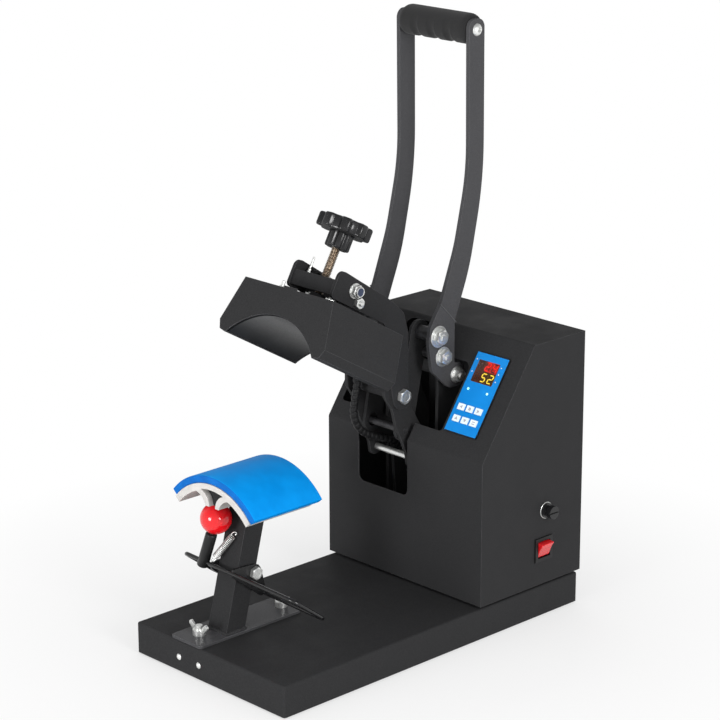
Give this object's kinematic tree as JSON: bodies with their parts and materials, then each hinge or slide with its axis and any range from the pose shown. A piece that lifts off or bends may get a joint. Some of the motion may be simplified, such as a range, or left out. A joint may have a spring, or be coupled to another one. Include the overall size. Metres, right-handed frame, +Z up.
{
  "type": "cap heat press",
  "caption": "Clamshell cap heat press: arched heated head on a hinged arm over a padded curved saddle, long twin-bar handle, sloped control housing and rectangular base.",
  "frame": {"origin": "centre of the whole footprint, on the surface that the rubber feet stand on", "axes": "+X to the right seen from the front, +Y to the back (the saddle is at -Y, the housing at +Y), +Z up"},
  "size_m": [0.257, 0.4616, 0.679],
  "materials": {
    "black_powder_coat": "fine-textured black powder coat",
    "charcoal_powder_coat": "satin charcoal powder coat",
    "zinc_plated_steel": "bright zinc-plated steel",
    "black_rubber": "matte black rubber",
    "black_foam": "closed-cell foam",
    "black_plastic": "satin black moulded plastic",
    "gloss_black_plastic": "polished black moulded plastic",
    "blue_membrane": "blue printed membrane",
    "smoked_window": "smoked window",
    "pale_keys": "pale keys",
    "red_plastic": "polished red plastic",
    "cast_aluminium": "as-cast aluminium",
    "dark_nonstick_coat": "smooth dark baked non-stick coat",
    "blue_silicone": "matte blue silicone rubber",
    "bronzed_steel_thread": "oiled bronze-coloured steel thread",
    "glass_fibre_braid": "black braided glass-fibre sleeving",
    "ceramic_fibre": "ceramic-fibre blanket"
  },
  "bodies": {
    "frame": {"base_pan": "black_powder_coat", "base_feet": "black_rubber", "cover_screws": "zinc_plated_steel", "housing_shell": "black_powder_coat", "rear_panel": "black_powder_coat", "power_inlet": "black_plastic", "frame_cheeks": "black_powder_coat", "frame_bolts": "zinc_plated_steel", "arm_shaft": "zinc_plated_steel", "relay_block": "black_plastic", "controller_plate": "blue_membrane", "controller_case": "black_plastic", "display_window": "smoked_window", "rocker_bezel": "black_plastic", "fuse_holder": "black_plastic", "stand_plate": "black_powder_coat", "stand_studs": "zinc_plated_steel", "stand_post": "black_powder_coat", "saddle_casting": "cast_aluminium", "silicone_pad": "blue_silicone", "hold_down_bolt": "zinc_plated_steel", "extension_spring": "zinc_plated_steel"},
    "arm": {"right_arm_plate": "black_powder_coat", "left_arm_plate": "black_powder_coat", "lower_arm_plates": "black_powder_coat", "arm_spacers": "black_powder_coat", "arm_bolts": "zinc_plated_steel", "arm_cross_pins": "zinc_plated_steel", "cross_channel": "black_powder_coat", "heater_cable": "glass_fibre_braid"},
    "head": {"head_cover": "black_powder_coat", "heater_platen": "dark_nonstick_coat", "insulation_block": "ceramic_fibre", "hanger_bracket": "black_powder_coat", "head_standoffs": "zinc_plated_steel"},
    "screw": {"pressure_screw": "bronzed_steel_thread", "star_knob": "gloss_black_plastic"},
    "handle": {"right_handle_bar": "charcoal_powder_coat", "left_handle_bar": "charcoal_powder_coat", "grip_tube": "black_powder_coat", "foam_grip": "black_foam", "grip_screws": "zinc_plated_steel", "handle_bolts": "zinc_plated_steel", "crank_spacers": "zinc_plated_steel", "axle_tube": "black_powder_coat"},
    "links": {"drive_links": "black_powder_coat"},
    "hold_down": {"wire_bail": "black_powder_coat", "lever_sleeve": "black_plastic", "red_ball": "red_plastic"},
    "rocker_cap": {"rocker": "red_plastic"},
    "fuse_turn": {"fuse_cap": "black_plastic"},
    "front_nut": {"front_wing_nut": "zinc_plated_steel"},
    "rear_nut": {"rear_wing_nut": "zinc_plated_steel"},
    "key_body_1": {"key_1": "pale_keys"},
    "key_body_2": {"key_2": "pale_keys"},
    "key_body_3": {"key_3": "pale_keys"},
    "key_body_4": {"key_4": "pale_keys"},
    "key_body_5": {"key_5": "pale_keys"},
    "key_body_6": {"key_6": "pale_keys"}
  },
  "joints": [
    {"name": "arm_hinge", "type": "hinge", "parent": "frame", "child": "arm", "pos_m": [-0.0395, 0.1378, 0.092], "axis": [1, 0, 0], "range_deg": [0, 29.9]},
    {"name": "handle_hinge", "type": "hinge", "parent": "frame", "child": "handle", "pos_m": [-0.0395, 0.1235, 0.2768], "axis": [1, 0, 0], "range_deg": [0, 70.1]},
    {"name": "link_hinge", "type": "hinge", "parent": "handle", "child": "links", "pos_m": [-0.0395, 0.0943, 0.3266], "axis": [1, 0, 0], "range_deg": [-83.7, 0]},
    {"name": "head_slide", "type": "slide", "parent": "arm", "child": "head", "axis": [0, -0.4985, -0.8669], "range_m": [0, 0.0045]},
    {"name": "screw_turn", "type": "hinge", "parent": "head", "child": "screw", "pos_m": [-0.0395, -0.03709, 0.38447], "axis": [0, -0.4985, -0.8669], "range_deg": [0, 1080]},
    {"name": "hold_down_hinge", "type": "hinge", "parent": "frame", "child": "hold_down", "pos_m": [-0.0395, -0.1492, 0.1035], "axis": [1, 0, 0], "range_deg": [0, 25], "stiffness_Nm_per_rad": 2, "springref_deg": -20.05, "deforming": ["extension_spring"]},
    {"name": "power_rocker", "type": "hinge", "parent": "frame", "child": "rocker_cap", "pos_m": [0.1155, 0.1638, 0.084], "axis": [0, -1, 0], "range_deg": [0, 12]},
    {"name": "fuse_cap_turn", "type": "hinge", "parent": "frame", "child": "fuse_turn", "pos_m": [0.1235, 0.1678, 0.129], "axis": [1, 0, 0], "range_deg": [0, 90]},
    {"name": "front_wing_nut_turn", "type": "hinge", "parent": "frame", "child": "front_nut", "pos_m": [-0.0462, -0.208, 0.044], "axis": [0, 0, 1], "range_deg": [0, 360]},
    {"name": "rear_wing_nut_turn", "type": "hinge", "parent": "frame", "child": "rear_nut", "pos_m": [-0.043, -0.0912, 0.044], "axis": [0, 0, 1], "range_deg": [0, 360]},
    {"name": "key_1_press", "type": "slide", "parent": "frame", "child": "key_body_1", "axis": [0, 0.8234, -0.5674], "range_m": [0, 0.0008], "stiffness_N_per_m": 400},
    {"name": "key_2_press", "type": "slide", "parent": "frame", "child": "key_body_2", "axis": [0, 0.8234, -0.5674], "range_m": [0, 0.0008], "stiffness_N_per_m": 400},
    {"name": "key_3_press", "type": "slide", "parent": "frame", "child": "key_body_3", "axis": [0, 0.8234, -0.5674], "range_m": [0, 0.0008], "stiffness_N_per_m": 400},
    {"name": "key_4_press", "type": "slide", "parent": "frame", "child": "key_body_4", "axis": [0, 0.8234, -0.5674], "range_m": [0, 0.0008], "stiffness_N_per_m": 400},
    {"name": "key_5_press", "type": "slide", "parent": "frame", "child": "key_body_5", "axis": [0, 0.8234, -0.5674], "range_m": [0, 0.0008], "stiffness_N_per_m": 400},
    {"name": "key_6_press", "type": "slide", "parent": "frame", "child": "key_body_6", "axis": [0, 0.8234, -0.5674], "range_m": [0, 0.0008], "stiffness_N_per_m": 400}
  ],
  "couplings": [
    {"joint": "handle_hinge", "follows": "arm_hinge", "ratio": 2.3411},
    {"joint": "link_hinge", "follows": "arm_hinge", "ratio": -2.7958},
    {"joint": "screw_turn", "follows": "head_slide", "rad_per_m": 4188.8}
  ]
}
